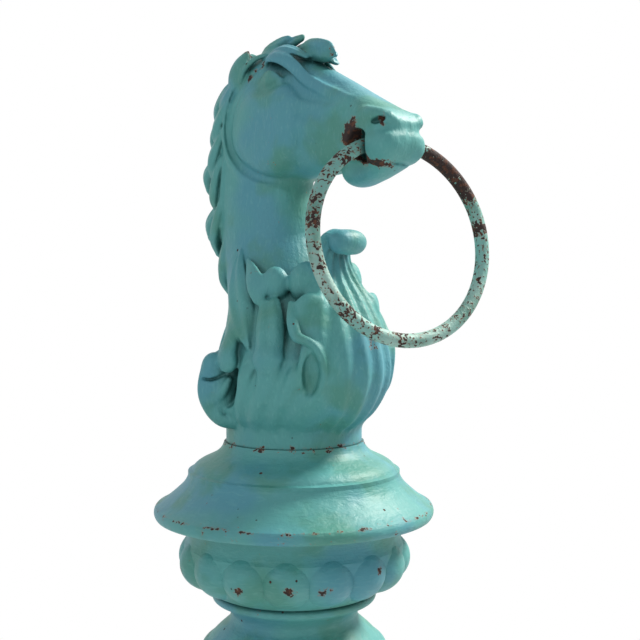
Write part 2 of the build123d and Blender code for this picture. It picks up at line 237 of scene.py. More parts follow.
def taper(values, share):
    """A width that changes along a blade, eased between the values given."""
    values = np.array(values, float)
    smooth = bend(np.column_stack((values, values)), 60)[0][:, 0]
    return np.interp(share, np.linspace(0, 1, 60), np.maximum(smooth, 0.3))


def rails(line, face, axis_forward):
    """At each place of a line, its pace and the directions along it, across it and out of it."""
    gaps = np.linalg.norm(np.diff(line, axis=0), axis=1)
    pace = np.gradient(np.concatenate(((0,), np.cumsum(gaps))))
    run = np.gradient(line, axis=0)
    run /= np.linalg.norm(run, axis=1)[:, None]
    out = line - np.array(face) if face is not None else (line + (0, axis_forward, 0)) * (1, 1, 0)
    side = np.cross(run, out)
    side /= np.linalg.norm(side, axis=1)[:, None] + 1e-9
    return pace, run, side, np.cross(side, run)


def closest(line, x, y, z):
    """The number of the line's place that each cell is closest to."""
    best = np.full(np.broadcast(x, y, z).shape, 1e9, np.float32)
    which = np.zeros(best.shape, np.int16)
    for number, place in enumerate(line):
        gap = (x - place[0]) ** 2 + (y - place[1]) ** 2 + (z - place[2]) ** 2
        closer = gap < best
        best = np.where(closer, gap, best)
        which[closer] = number
    return which


def blade(path, wide, thick, face=None, axis_forward=0.0, grooves=0, depth=0.8, bow=0.0):
    """A leaf, a lock or a fold along a path. It turns its back on a place, or on an upright line."""
    line, share = bend(path, 1 + STEPS_PER_SPAN * (len(path) - 1))
    pace, run, side, lift = rails(line, face, axis_forward)
    width, height = taper(wide, share), taper(thick, share)
    last = len(line) - 1.001
    reach = np.maximum(width, height).max() + MARGIN

    def distance(x, y, z):
        which = closest(line, x, y, z)

        def beside(spot):
            """The spot kept close to the nearest place, values there, and each cell's offset from it."""
            spot = np.clip(np.clip(spot, which - SLIDE, which + SLIDE), 0, last)
            first = spot.astype(int)
            late = (spot - first).astype(np.float32)

            def eased(table):
                return table[first] * (1 - late) + table[first + 1] * late

            return spot, eased, [q - eased(line[:, k]) for k, q in enumerate((x, y, z))]

        step = sum((q - line[which, k]) * run[which, k] for k, q in enumerate((x, y, z)))
        spot, eased, offset = beside(which + step / pace[which])
        slip = sum(o * eased(run[:, k]) for k, o in enumerate(offset)) / eased(pace)
        spot, eased, offset = beside(spot + slip)
        along, across, over = (
            sum(o * eased(way[:, k]) for k, o in enumerate(offset)) for way in (run, side, lift)
        )
        if bow:
            over = over + across * across / (2 * bow)
        half_wide, half_thick = eased(width), eased(height)
        u, v = across / half_wide, over / half_thick
        flat = rounded((u, v), (half_wide, half_thick))
        if grooves:
            flat = flat + depth * (0.5 + 0.5 * np.cos(u * math.pi * (grooves + 1))) * np.clip(2 * v, 0, 1)
        past = np.abs(along) * ((spot <= 0) | (spot >= last))
        return np.where(flat > 0, np.sqrt(flat * flat + past * past), flat + past)

    return line.min(0) - reach, line.max(0) + reach, distance


print("blades follow their paths in", STEPS_PER_SPAN, "steps from point to point")

# %% [markdown]
# ## The neck, the skull and the round foot of the bust
#
# The bust is cast in one piece with its collar. Its neck arches back and then comes forward to the
# crown, and its foot swells like a bulb before it closes on the collar. Such bodies could be lofted
# through rings of points, but a lump in the clay needs distances, so each is a table of sections that
# are eased from one to the next: ellipses in the neck and rounded boxes in the muzzle, where a real
# horse's lips are square.

# %% The big bodies
HEIGHTS = (826, 842, 850, 862, 880, 900, 925, 950, 975, 1005, 1040, 1070, 1092, 1110)
NECK_FORWARD = (0, 0, 2, 5, 7, 5, -3, -15, -26, -31, -32, -28, -22, -14)
NECK_HALF_DEPTH = (48.6, 48.6, 55, 61, 62, 56, 47, 41, 40, 42, 41, 35, 27, 12)
NECK_HALF_WIDTH = (48.6, 48.6, 56, 60, 61, 52, 43, 36, 31, 29, 29, 27, 21, 10)

NOSEWARD = (-46, -30, -8, 14, 38, 58, 76, 92, 104, 116)
FACE_TOP = (1074, 1096, 1106, 1101, 1089, 1078, 1067, 1058, 1052.5, 1048)
FACE_BOTTOM = (1040, 1024, 1019, 1018, 1020, 1021, 1019, 1017, 1020, 1027)
FACE_HALF_WIDTH = (15, 23, 26.5, 25, 20.5, 19, 21.5, 22, 20, 15)
FACE_SQUARE = (2.2, 2.3, 2.4, 2.5, 2.6, 2.7, 2.9, 3.0, 3.0, 2.9)
FACE_DRAWN_IN = (0.0, 0.05, 0.1, 0.18, 0.26, 0.22, 0.1, 0.04, 0.0, 0.0)
NOSE_END = 108
NOSE_ROUNDING = 14


def through(keys, values, where):
    """Values eased smoothly between keys."""
    fine = np.linspace(keys[0], keys[-1], 400)
    rough = np.interp(fine, keys, values)
    kernel = np.hanning(2 * (400 // (3 * len(keys))) + 1)
    padded = np.pad(rough, len(kernel) // 2, mode="reflect", reflect_type="odd")
    return np.interp(where, fine, np.convolve(padded, kernel / kernel.sum(), "valid"))


def section(u, v, half_u, half_v, square):
    """Distance to a rounded section; square 2 is an ellipse, and 4 is nearly a box."""
    a, b = np.abs(u) / half_u, np.abs(v) / half_v
    size = (a**square + b**square + 1e-9) ** (1 / square)
    slope = np.hypot(a ** (square - 1) / half_u, b ** (square - 1) / half_v) * size ** (1 - square)
    return (size - 1) / np.maximum(slope, 0.2 / np.minimum(half_u, half_v))


def neck_body():
    """The neck and the bulb under it, which lean, so their distances are a little overstated."""
    def distance(x, y, z):
        middle, deep, wide = (
            through(HEIGHTS, curve, z) for curve in (NECK_FORWARD, NECK_HALF_DEPTH, NECK_HALF_WIDTH)
        )
        return section(x, y + middle, wide, deep, 2.0) * 0.95

    return np.array((-70.0, -80.0, 826.0)), np.array((70.0, 90.0, 1110.0)), distance


def skull_body():
    """The skull from the crown to the nose, narrower above than below."""
    def distance(x, y, z):
        forward = np.broadcast_to(-y, np.broadcast(y, x).shape)
        top, bottom, wide, square, drawn = (
            through(NOSEWARD, curve, forward)
            for curve in (FACE_TOP, FACE_BOTTOM, FACE_HALF_WIDTH, FACE_SQUARE, FACE_DRAWN_IN)
        )
        half = (top - bottom) / 2
        v = z - (top + bottom) / 2
        narrow = 1 - drawn * np.clip(v / half, -1, 1)
        side = section(x, v, wide * narrow, half, square)
        return pared(side, forward - NOSE_END, NOSE_ROUNDING)

    return np.array((-34.0, -118.0, 1010.0)), np.array((34.0, 44.0, 1114.0)), distance


clay = Clay((-76, -122, 829), (76, 104, 1128))
clay.add(neck_body(), 0.1)
clay.add(skull_body(), 9)
print("clay block", clay.depth.shape)

# %% [markdown]
# ## Jaw, cheek and eye
#
# The jaw shows as a flat round disc behind the cheek, with a crease round it, and a ridge runs forward
# from the brow and another from under the eye. They could be cut into the skull's sections, but a
# carver lays them on: a disc, eggs for the cheek and the eye, and thin blades for the ridges and lids.

# %% The face
JAW_RADIUS = 34.5
clay.add_pair(disc, at(-1, 13, 1050.5), radius=JAW_RADIUS, thick=18.5, rounding=17, soft=1.5)
jaw_crease = [at(-23, 25.5, 1085), at(-31, 29, 1074), at(-36.5, 30, 1062), at(-38.5, 30, 1048),
              at(-33.5, 30.5, 1034.5), at(-21, 30.5, 1023), at(-7, 27.5, 1016), at(8, 20, 1013.5)]
clay.cut_pair(blade, jaw_crease, wide=(1.2, 2, 2.4, 2.8, 3, 3, 2.6, 1.5),
              thick=(1.5, 3, 4, 4.6, 4.8, 4.6, 3.6, 1.5), face=at(-12, -30, 1045), soft=2.2)
clay.add_pair(egg, at(40, 15.5, 1047.5), radii=(10.5, 12.5, 11), soft=5)

cheek_ridge = [at(8, 22, 1069.5), at(20, 23.5, 1066), at(34, 20.5, 1061), at(50, 18, 1058),
               at(66, 17.5, 1057)]
clay.add_pair(blade, cheek_ridge, wide=(2, 3, 3.4, 3, 2), thick=(0.8, 1.6, 2.2, 2, 1),
              face=at(36, -10, 1061), soft=5)
clay.cut_pair(egg, at(3, 30.5, 1085.5), radii=(7.5, 15, 9.5), tilt=(-14, 0, 0), soft=7)
brow_ridge = [at(-10, 18, 1096), at(0, 22.5, 1099.5), at(11, 22, 1097.5), at(20, 19.5, 1091),
              at(30, 18, 1082), at(42, 17, 1074.5), at(55, 16, 1068.5), at(68, 15.5, 1063)]
clay.add_pair(blade, brow_ridge, wide=(3, 4.4, 5, 4.6, 4, 3.6, 3.2, 2),
              thick=(1.2, 2.2, 2.6, 2, 1.6, 1.4, 1.2, 0.8), face=at(25, -10, 1070), soft=5)

clay.add_pair(egg, at(1, 23, 1083.2), radii=(4.8, 6.4, 4.8), tilt=(-8, 0, 0), soft=1.0)
upper_lid = [at(-8.5, 23, 1083), at(-2.5, 25.2, 1087.8), at(4, 25, 1088), at(11, 22, 1083)]
clay.add_pair(blade, upper_lid, wide=(0.8, 1.4, 1.4, 0.8), thick=(0.3, 0.8, 0.8, 0.3), soft=4)
lower_lid = [at(-7.5, 23, 1081), at(0.5, 24.5, 1078), at(9.5, 22.4, 1080.6)]
clay.add_pair(blade, lower_lid, wide=(0.7, 1.2, 0.7), thick=(0.2, 0.5, 0.2), soft=4)
print("the jaw's disc is", 2 * JAW_RADIUS, "mm across")

# %% [markdown]
# ## Muzzle and mouth
#
# The muzzle swells round the nostrils, and the lips part over a chin of their own. The ring's slot is
# cast through the corners of the mouth, wider than the bar. It has to clear the ring all along its
# swing, so its line is read from the joint in the frame and not drawn by eye.

# %% Muzzle and mouth
clay.add_pair(egg, at(94, 12.5, 1045), radii=(9.5, 10.5, 8.5), soft=4)
nostril_rim = [at(78, 17, 1052), at(87, 19.5, 1052.5), at(97, 18.5, 1050), at(103, 14, 1048.5)]
clay.add_pair(blade, nostril_rim, wide=(2.5, 4, 4, 2.5), thick=(1.6, 2.8, 2.8, 1.6),
              face=at(88, 0, 1044), soft=4)
under_nose = [at(88, 23.5, 1040), at(98, 21.5, 1041), at(106, 14, 1041.5), at(109, 6, 1041.5),
              at(109.5, 0, 1041.5)]
clay.cut_pair(blade, under_nose, wide=(1.5, 2.2, 2.6, 2.6, 2.6), thick=(1.2, 1.8, 2, 2, 1.8),
              face=at(85, 0, 1040), soft=4)
clay.add_pair(egg, at(92, 13.5, 1031.5), radii=(9.5, 13.5, 8.5), soft=5)
clay.cut_pair(egg, at(98, 20.2, 1046.4), radii=(4.4, 5.4, 2.1), tilt=(-14, 0, 0), soft=1.0)
lip_corner = [at(76, 24, 1040), at(76, 24.5, 1046), at(78, 24, 1051.5), at(81, 23.5, 1055)]
clay.cut_pair(blade, lip_corner, wide=(1.8, 1.5, 1.4, 1), thick=(2.4, 2.6, 2.2, 1.4),
              face=at(76, 0, 1047), soft=1.8)
clay.cut_pair(egg, at(68, 24.5, 1050), radii=(3, 5, 11), soft=5)

clay.add(egg(at(66.5, 0, 1018), (14, 14, 11), tilt=(-10, 0, 0)), 4)
clay.add(egg(at(81, 0, 1018), (13, 19, 7.8), tilt=(-16, 0, 0)), 5)
clay.add(egg(at(38, 0, 1028), (15, 42, 11), tilt=(-5, 0, 0)), 5)
lips_part = [at(77, 22, 1023), at(84, 22.5, 1020.8), at(92, 20.5, 1019.6), at(99, 13, 1019.4),
             at(102, 0, 1019.8)]
clay.cut_pair(blade, lips_part, wide=(1.3, 1.1, 1, 1, 1), thick=(3.6, 3.4, 3.2, 3, 3),
              face=at(75, 0, 1020), soft=1.0)

SLOT_HALF_LENGTH = 34
swing = frame["joints"][0]
slot_middle, slot_run = np.array(swing["pos_m"]) * 1000, np.array(swing["axis"])
slot_line = [slot_middle + slot_run * SLOT_HALF_LENGTH * share for share in (-1, -0.55, 0, 0.55, 1)]
clay.cut(blade(slot_line, wide=(9.2, 8.2, 8.2, 8.2, 9.2), thick=(11.8, 10.6, 10.4, 10.6, 11.8),
               face=slot_middle - np.array((0, 0, 900.0))), 2.0)
print("the mouth's slot follows", swing["name"])

# %% [markdown]
# ## Throat folds and the parting line
#
# A raised line runs from behind the ear down the neck, where the mane parts from the smooth hide, and
# soft folds cross the throat under the jaw. They are long thin blades with wide fillets, so they
# swell out of the neck without an edge.

# %% Folds
jaw_fold = [at(-33, 23, 1087), at(-39, 25, 1080), at(-43.5, 27, 1066), at(-43, 29.2, 1047),
            at(-37, 29.6, 1031), at(-23, 28.6, 1017), at(-8, 23.5, 1009.5), at(5, 12, 1006)]
clay.add_pair(blade, jaw_fold, wide=(0.8, 1.3, 1.6, 1.8, 2, 2, 2, 1),
              thick=(0.4, 0.7, 0.8, 0.8, 0.8, 0.7, 0.3, 0.3), face=at(-15, -25, 1040), soft=3.2)
parting = [at(-42, 27.5, 1042), at(-45, 28, 1022), at(-48, 27, 1000), at(-50, 25, 978)]
clay.add_pair(blade, parting, wide=(0.8, 1.2, 1.2, 0.8), thick=(0.8, 1.2, 1.2, 0.5), soft=1.6)
THROAT_FOLDS = (1008, 999.5)
for high in THROAT_FOLDS:
    throat_fold = [at(-22, 26.5, high), at(-6, 22.5, high - 3.5), at(5, 13.5, high - 7)]
    clay.add_pair(blade, throat_fold, wide=(1, 2.4, 1.2), thick=(0.2, 0.5, 0.2),
                  face=at(-25, 0, high - 6), soft=4)
print(len(THROAT_FOLDS), "folds cross each side of the throat")

# %% [markdown]
# ## Ears and forelock
#
# The ears are laid back, so each is a broad leaf against the mane with a dark slit along its front
# edge. The forelock is a tuft of short round-ended leaves over the brow, and the largest turns its
# flat side to the viewer. Particle hair would be wrong here, since cast hair is solid locks.

# %% Ears and forelock
ear = [at(-35, 18, 1080), at(-37, 20.5, 1089), at(-33, 20.5, 1099), at(-29, 18, 1107.5)]
clay.add_pair(blade, ear, wide=(8, 9, 7, 2.4), thick=(4, 5, 4.4, 2), face=at(-36, -40, 1090), soft=2.2)
ear_front = [at(-11, 17, 1104), at(-19.5, 20.5, 1101), at(-26.5, 23, 1095), at(-30, 24.5, 1086)]
clay.add_pair(blade, ear_front, wide=(1.8, 2.6, 2.6, 1.4), thick=(1.2, 1.8, 1.8, 1),
              face=at(-18, 0, 1085), soft=2.5)
ear_slit = [at(-4.5, 24.5, 1099.5), at(-9.5, 24.5, 1098), at(-15.5, 24.5, 1095), at(-20.5, 25, 1090.5),
            at(-23, 26, 1085.5)]
clay.cut_pair(blade, ear_slit, wide=(0.9, 1.8, 2.0, 1.4, 0.8), thick=(2.2, 5, 5.5, 4, 2),
              face=at(-16, 0, 1085), soft=0.8)


def tuft(path, wide, thick, soft=1.2, **more):
    """A lock of the forelock, which has no twin, as hair falls to one side."""
    clay.add(blade([at(*place) for place in path], wide=wide, thick=thick, grooves=1, **more), soft)


tuft([(-26, 5, 1101), (-19, 6, 1108), (-12, 6, 1111.5), (-4.5, 6, 1114), (1, 6, 1115)],
     (5, 5.5, 5, 4.2, 3), (5, 4.5, 4, 3, 2.4), face=at(-12, -40, 1090))
tuft([(-13, 3, 1106), (-4, 3, 1110.5), (5, 3.5, 1113), (12.5, 3.5, 1114.5)],
     (4.6, 4.8, 4.2, 3), (4.5, 4, 3, 2.2), face=at(0, -40, 1090))
tuft([(-6, -6, 1104), (4, -6, 1108.5), (14, -6, 1108.5), (26, -6, 1106), (35, -6, 1101)],
     (6, 6, 5.4, 4.6, 3), (5, 4, 3.6, 3, 2), face=at(10, 0, 1075))
tuft([(10, 3, 1102), (20, 5, 1104.5), (29, 6, 1103), (38, 6, 1100.5), (42, 5.5, 1099)],
     (5, 7, 8, 7.6, 6), (5, 4.4, 4, 3.6, 3), face=at(29, -60, 1108), depth=0.6)
tuft([(16, -3, 1100), (26, -3, 1100.5), (33, -3, 1097.5), (39, -2, 1094)],
     (6, 7, 6, 4), (4, 4, 3, 1.8), face=at(20, 0, 1070), soft=3)
side_tuft = [at(-8, 13, 1103), at(4, 15.5, 1105.5), at(15, 14.5, 1103.5), at(25, 11, 1098)]
clay.add_pair(blade, side_tuft, wide=(4, 5, 4.4, 2.4), thick=(3, 3, 2.6, 1.4), face=at(5, 0, 1075),
              grooves=1, soft=2.5)
print("the forelock has seven tufts")

# %% [markdown]
# ## Mane
#
# The mane is a row of heavy locks down the crest. Each starts at the crest, sweeps down round the
# neck, and ends in a tip that stands away, which gives the back its scalloped outline. A flatter row
# lies in front of it on the neck's side. All are the same kind of blade, so two tables hold them.

# %% The mane
MANE = (
    ((-28, 13, 1102), (-39, 13, 1097), (-46, 12, 1089), (-53, 9, 1081)),
    ((-47, 8, 1091), (-57, 9, 1083), (-67, 9, 1071), (-72, 8, 1060)),
    ((-56, 9, 1068), (-65, 10, 1059), (-70, 10, 1048), (-67, 9, 1036)),
    ((-56, 8, 1040), (-64, 10, 1034), (-77, 11, 1024), (-82, 9, 1012)),
    ((-52, 9, 1012), (-59, 11, 1001), (-73, 12, 988), (-79, 10, 976)),
    ((-48, 8, 984), (-57, 9, 970), (-59, 10, 954), (-55, 9, 940)),
)
MANE_FRONT = (
    ((-36, 21, 1090), (-45, 21, 1081), (-52, 20, 1072), (-57, 16, 1064)),
    ((-43, 25, 1074), (-51, 24, 1064), (-58, 22, 1053), (-62, 17, 1043)),
    ((-46, 26, 1054), (-54, 25.5, 1042), (-62, 23, 1031), (-68, 17, 1021)),
    ((-48, 26, 1034), (-55, 25.5, 1020), (-61, 22, 1006), (-64, 16, 996)),
    ((-48, 25, 1006), (-54, 24.5, 992), (-62, 21, 977), (-65, 15, 964)),
    ((-42, 25, 978), (-48, 24, 963), (-53, 20, 947), (-51, 15, 934)),
)
for lock in MANE:
    clay.add_pair(blade, [at(*place) for place in lock], wide=(7, 10, 9, 4), thick=(5, 7, 7, 3.4),
                  face=at(-30, 0, lock[1][2]), grooves=2, depth=0.9, soft=1.6)
for lock in MANE_FRONT:
    clay.add_pair(blade, [at(*place) for place in lock], wide=(3, 7.5, 8, 3.4), thick=(2.2, 4, 4.6, 2.4),
                  face=at(-30, 0, lock[1][2]), grooves=1, depth=0.7, soft=1.4)
print(2 * (len(MANE) + len(MANE_FRONT)), "locks in the mane")

# %% [markdown]
# ## The chest leaf
#
# The bust grows out of a collar of acanthus leaves. The broad leaf on the chest stands away from the
# neck and rolls its tip forward. One blade with five grooves makes its ribbed face, a second one, bent
# over, makes the rolled tip with eggs for its pads, and its edge curls over a hollow on each side.

# %% Chest leaf
leaf_rise = [at(40, 0, 846), at(56, 0, 860), at(65, 0, 880), at(64, 0, 902), at(55, 0, 926),
             at(46, 0, 944), at(42, 0, 958), at(43, 0, 968)]
clay.add(blade(leaf_rise, wide=(26, 36, 44, 42, 34, 24, 16, 13), thick=(10, 12.5, 13, 10.5, 8, 6, 5, 4.5),
               grooves=5, depth=2.4, bow=62), 3)
leaf_tip = [at(41.5, 0, 950), at(40, 0, 962), at(41.5, 0, 971), at(46.5, 0, 975.5), at(52, 0, 974)]
clay.add(blade(leaf_tip, wide=(13, 15, 16.5, 16.5, 14), thick=(4.5, 5, 5, 4.5, 4), face=at(50, 0, 958),
               grooves=1, depth=1.0), 2.5)
for right in (-7.5, 0, 7.5):
    clay.add(egg(at(52, right, 970), (7, 7, 7.5), tilt=(20, 0, 0)), 3)
clay.add(egg(at(54.5, 0, 970.5), (14, 7.5, 8)), 4)

clay.add_pair(egg, around(33, 54, 916), radii=(7, 14, 20), facing=(0, 0), tilt=(0, 8, 0), soft=7)
clay.cut_pair(egg, at(58.5, 39.5, 881), radii=(10, 7, 17), facing=(0, 0), soft=2)
clay.add_pair(egg, around(24, 61, 890), radii=(5.5, 12, 24), facing=(0, 0), soft=6)
curl = [at(47, 44, 906.5), at(52.5, 42, 905.5), at(57.5, 38, 902), at(61, 34.5, 894.5),
        at(62, 32.5, 884.5), at(59, 33, 873), at(53, 35.5, 864.5)]
clay.add_pair(blade, curl, wide=(2.4, 3, 3, 2.8, 2.6, 2.4, 1.8), thick=(2, 3, 3.4, 3.8, 3.6, 3.2, 1.8),
              soft=2)
print("the chest leaf has five grooves and a curled edge")

# %% [markdown]
# ## Bumps, tongues and flank leaves
#
# Behind the chest leaf come two round bumps, a tongue that hangs below them, and a long pointed leaf.
# They overlap like slates, so their fillets are narrow, which keeps the edges of the upper ones clear.
# Shallow cuts with wide fillets part the bulb under them into ribs.

# %% Bumps, tongues and flank leaves
clay.add_pair(egg, around(63, 38.5, 942), radii=(6.5, 9.5, 12), facing=(0, 0), soft=2.5)
clay.add_pair(egg, at(35, 21.5, 943), radii=(8, 12.5, 14.5), facing=(0, 0), soft=4)
leaf_hem = [at(38.5, 40, 930), at(43, 43, 918), at(47.5, 44, 908.5), at(52, 42.5, 905)]
clay.add_pair(blade, leaf_hem, wide=(2, 4, 4, 2.4), thick=(1.4, 2.8, 3, 2.6), soft=2.2)
tongue = [at(18, 40.5, 929.5), at(24, 45.5, 917), at(28.5, 50, 904), at(31, 54, 891.5)]
clay.add_pair(blade, tongue, wide=(8, 10, 10, 9.2), thick=(3.6, 4.6, 5.2, 5.6), grooves=1, depth=1.0,
              soft=2.4)
clay.add_pair(egg, at(30.5, 53.5, 891), radii=(6, 9.6, 9), facing=(0, 0), soft=5)
clay.cut_pair(egg, at(33, 61, 876), radii=(5, 12, 6), facing=(0, 0), soft=3.5)
small_leaf = [at(-9, 36, 959), at(1, 41, 949), at(8.5, 43.5, 939), at(12.5, 45, 930)]
clay.add_pair(blade, small_leaf, wide=(2, 6, 7, 4), thick=(1, 2.2, 2.6, 2), axis_forward=-12, soft=4)
flank_leaf = [at(-19.5, 33.5, 966), at(-17.5, 37.5, 952), at(-12.5, 41.5, 937), at(-5, 45, 922),
              at(3, 49.5, 909), at(11.5, 53, 898)]
clay.add_pair(blade, flank_leaf, wide=(1.6, 7.5, 11, 11, 7.5, 2), thick=(1.5, 3.8, 4.8, 5.2, 4.6, 2.6),
              axis_forward=-14, grooves=1, depth=1.4, soft=1.4)

RIB_CUTS = (
    [at(3, 53, 900), at(2.9, 61, 877), at(-1.5, 61, 860), at(-5, 52, 846)],
    [at(21, 55, 884), at(18, 60.5, 867), at(11, 59, 854), at(6, 50, 843)],
    [at(41, 47, 888), at(37, 53.5, 869), at(28, 54, 855), at(20, 47.5, 843)],
    [at(49, 42, 871), at(43, 46.5, 858), at(38, 46.5, 853), at(31, 41, 844)],
)
for rib_cut in RIB_CUTS:
    clay.cut_pair(blade, rib_cut, wide=(1.2, 2.6, 2.6, 1.5), thick=(0.4, 2.4, 2.4, 0.5), soft=5)
print(len(RIB_CUTS), "cuts part the bulb on each side")

# %% [markdown]
# ## Scrolls and the back leaf
#
# At each rear corner a leaf is rolled into a scroll, seen from its end by the camera. Its skin is one
# spiral path, laid down several times side by side, because a blade keeps its width square to its
# path and a single one would be far too wide. Eggs fill it, a crease and an inner roll mark its end,
# and a last leaf covers its top.

# %% Scrolls
OFFSETS = range(-28, 22, 7)
CORNER = 134
SPIRAL = ((40, 846), (50, 848), (57.5, 856), (61, 868), (60, 880), (55, 888), (48.5, 889.5),
          (43.5, 884.5), (42.5, 877), (46.5, 871.5), (52, 870))
SPIRAL_THICK = (4, 3.6, 3.2, 3, 3, 3, 3, 2.8, 2.6, 2.6, 3.2)


def roll_path(offset):
    """The scroll's turns, seen from its end, that far along its axis."""
    turn = math.radians(CORNER)
    slip = at(-math.sin(turn) * offset, math.cos(turn) * offset, 0)
    return [around(CORNER, radius, height) + slip for radius, height in SPIRAL]


clay.cut_pair(egg, at(-9, 60, 876), radii=(13, 15, 20), facing=(0, 72), soft=2)
for offset in OFFSETS:
    clay.add_pair(blade, roll_path(offset), wide=[5.5] * len(SPIRAL), thick=SPIRAL_THICK,
                  face=around(CORNER, 53, 876), soft=0.8)
clay.add_pair(egg, around(CORNER, 48.5, 871), radii=(15, 27, 20), facing=(0, 0), soft=1.5)
clay.add_pair(egg, at(-17, 58, 869), radii=(5.5, 13, 17.5), facing=(-51, 24.2), soft=1.5)
clay.add_pair(egg, at(-18.5, 59, 885), radii=(6.8, 8.5, 10), facing=(-52, 25.7), soft=2)
scroll_crease = [at(-22, 67, 877), at(-16, 62.5, 876.5), at(-9, 56, 880.5)]
clay.cut_pair(blade, scroll_crease, wide=(0.8, 1, 0.8), thick=(2, 2.6, 2), face=at(-38, 38, 878), soft=1.5)
inner_roll = [at(-18, 63, 860), at(-13, 60, 864.5), at(-9, 57, 871), at(-6.5, 54.5, 877.5)]
clay.add_pair(blade, inner_roll, wide=(2.4, 3.4, 3.4, 2.2), thick=(1.8, 2.8, 2.8, 1.8),
              face=at(-31, 36, 868), soft=1.8)
print("each scroll is laid down from", len(OFFSETS), "blades")

# %% [markdown]
# ## The leaves at the back
#
# A short leaf comes down over each scroll, and a plain ribbed one covers the middle of the back. The
# photograph shows only the near scroll's leaf, so the back one repeats the chest leaf's way of making.

# %% Leaves at the back
clay.add_pair(egg, around(CORNER, 27, 866), radii=(14, 15, 19), facing=(0, 0), soft=3)
scroll_leaf = [at(-14, 43, 922), at(-9, 50, 908), at(-6, 57, 896), at(-5.5, 60, 888)]
clay.add_pair(blade, scroll_leaf, wide=(4, 7, 8, 7), thick=(3, 4.4, 5, 4.4), soft=2)
clay.add_pair(egg, at(-3.5, 59, 889), radii=(5, 7.8, 7.5), facing=(0, 0), soft=3)
clay.cut_pair(egg, at(-6.5, 56, 880.5), radii=(4, 2.2, 2), facing=(0, 0), soft=1)
back_leaf = [at(-44, 0, 846), at(-57, 0, 862), at(-60, 0, 884), at(-57, 0, 906), at(-55, 0, 926)]
clay.add(blade(back_leaf, wide=(18, 24, 26, 20, 6), thick=(8, 9, 8, 7, 4), grooves=3, depth=1.6, bow=60), 3)
print("the clay is", round(float((clay.depth < 0).mean()) * 100), "percent of its block")

# %% [markdown]
# ## From clay to casting
#
# Where the distance is nought lies the surface. openvdb, which Blender brings with it, cuts it out as a
# fine mesh in one call, where a remesh modifier would need a mesh to start from. The mesh is in
# metres, and the collar's underside is closed flat on the cap.

# %% Cast the head
COLLAR_FOOT = 830
FILE_STRENGTH, FILE_STROKES = 0.5, 2


def cast(block, name):
    """The clay's surface as an object."""
    grid = openvdb.FloatGrid(background=OPEN_AIR)
    grid.copyFromArray(np.ascontiguousarray(block.depth))
    points, triangles, quads = grid.convertToPolygons(isovalue=0.0, adaptivity=0.0)
    corner = np.array([axis[0] for axis in block.axes])
    points = (np.asarray(points) * CELL + corner) / 1000
    points[:, 2] = np.maximum(points[:, 2], COLLAR_FOOT / 1000)
    faces = [tuple(int(i) for i in face[::-1]) for sheet in (quads, triangles) for face in sheet]
    mesh = bpy.data.meshes.new(name)
    mesh.from_pydata([tuple(point) for point in points], [], faces)
    mesh.validate()
    mesh.polygons.foreach_set("use_smooth", [True] * len(mesh.polygons))
    piece = bpy.data.objects.new(name, mesh)
    bpy.context.scene.collection.objects.link(piece)
    return piece


head = cast(clay, "horse_head_casting")
filed = head.modifiers.new("file marks off", "SMOOTH")
filed.factor, filed.iterations = FILE_STRENGTH, FILE_STROKES
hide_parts("horse_head")
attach(head, "post")
print("head casting has", len(head.data.polygons), "faces")

# %% [markdown]
# ## Arithmetic on a surface
#
# A finish is worked out at every point of the surface from readings such as a noise, a height or the
# distance to a knock. Joining Math nodes by hand hides the sum they make, so this class lets readings
# be added and multiplied like plain numbers, and each step adds its own node.

# %% Readings
class Reading:
    """A number that changes over the surface. Arithmetic on it adds Math nodes to its recipe."""

    def __init__(self, recipe, socket):
        self.recipe, self.socket = recipe, socket

    def maths(self, operation, first, second=0.0):
        node = self.recipe.node("ShaderNodeMath", {"operation": operation}, {0: first, 1: second})
        return Reading(self.recipe, node.outputs[0])

    def __add__(self, other):
        return self.maths("ADD", self, other)

    def __sub__(self, other):
        return self.maths("SUBTRACT", self, other)

    def __rsub__(self, other):
        return self.maths("SUBTRACT", other, self)

    def __mul__(self, other):
        return self.maths("MULTIPLY", self, other)

    def __or__(self, other):
        return self.maths("MAXIMUM", self, other)

    def __abs__(self):
        return self.maths("ABSOLUTE", self)

    __radd__, __rmul__, __ror__ = __add__, __mul__, __or__

    def eased(self, low, high):
        """Nought at low, one at high, and a smooth rise between them."""
        node = self.recipe.node("ShaderNodeMapRange", {"interpolation_type": "SMOOTHSTEP"},
                                {"Value": self, "From Min": low, "From Max": high})
        return Reading(self.recipe, node.outputs["Result"])


class Recipe:
    """The nodes of one shader, on a material or in the room."""

    def __init__(self, owner):
        owner.use_nodes = True
        self.tree = owner.node_tree
        self.tree.nodes.clear()

    def node(self, kind, settings=None, inputs=None):
        """Any node, by its type, with its settings first and then its sockets' values or links."""
        node = self.tree.nodes.new(kind)
        for setting, value in (settings or {}).items():
            setattr(node, setting, value)
        for socket, value in (inputs or {}).items():
            value = getattr(value, "socket", value)
            if isinstance(value, bpy.types.NodeSocket):
                self.tree.links.new(value, node.inputs[socket])
            else:
                node.inputs[socket].default_value = value
        return node

    def ray(self, kind):
        """One for the light rays of a kind, such as those that reach the camera, and nought for others."""
        return Reading(self, self.node("ShaderNodeLightPath").outputs[kind])


def card(red, green, blue):
    """A colour from a painter's card, 0 to 255, in the shader's own numbers."""
    return tuple(((c / 255 + 0.055) / 1.055) ** 2.4 for c in (red, green, blue)) + (1.0,)


print("readings can be added, multiplied and eased")
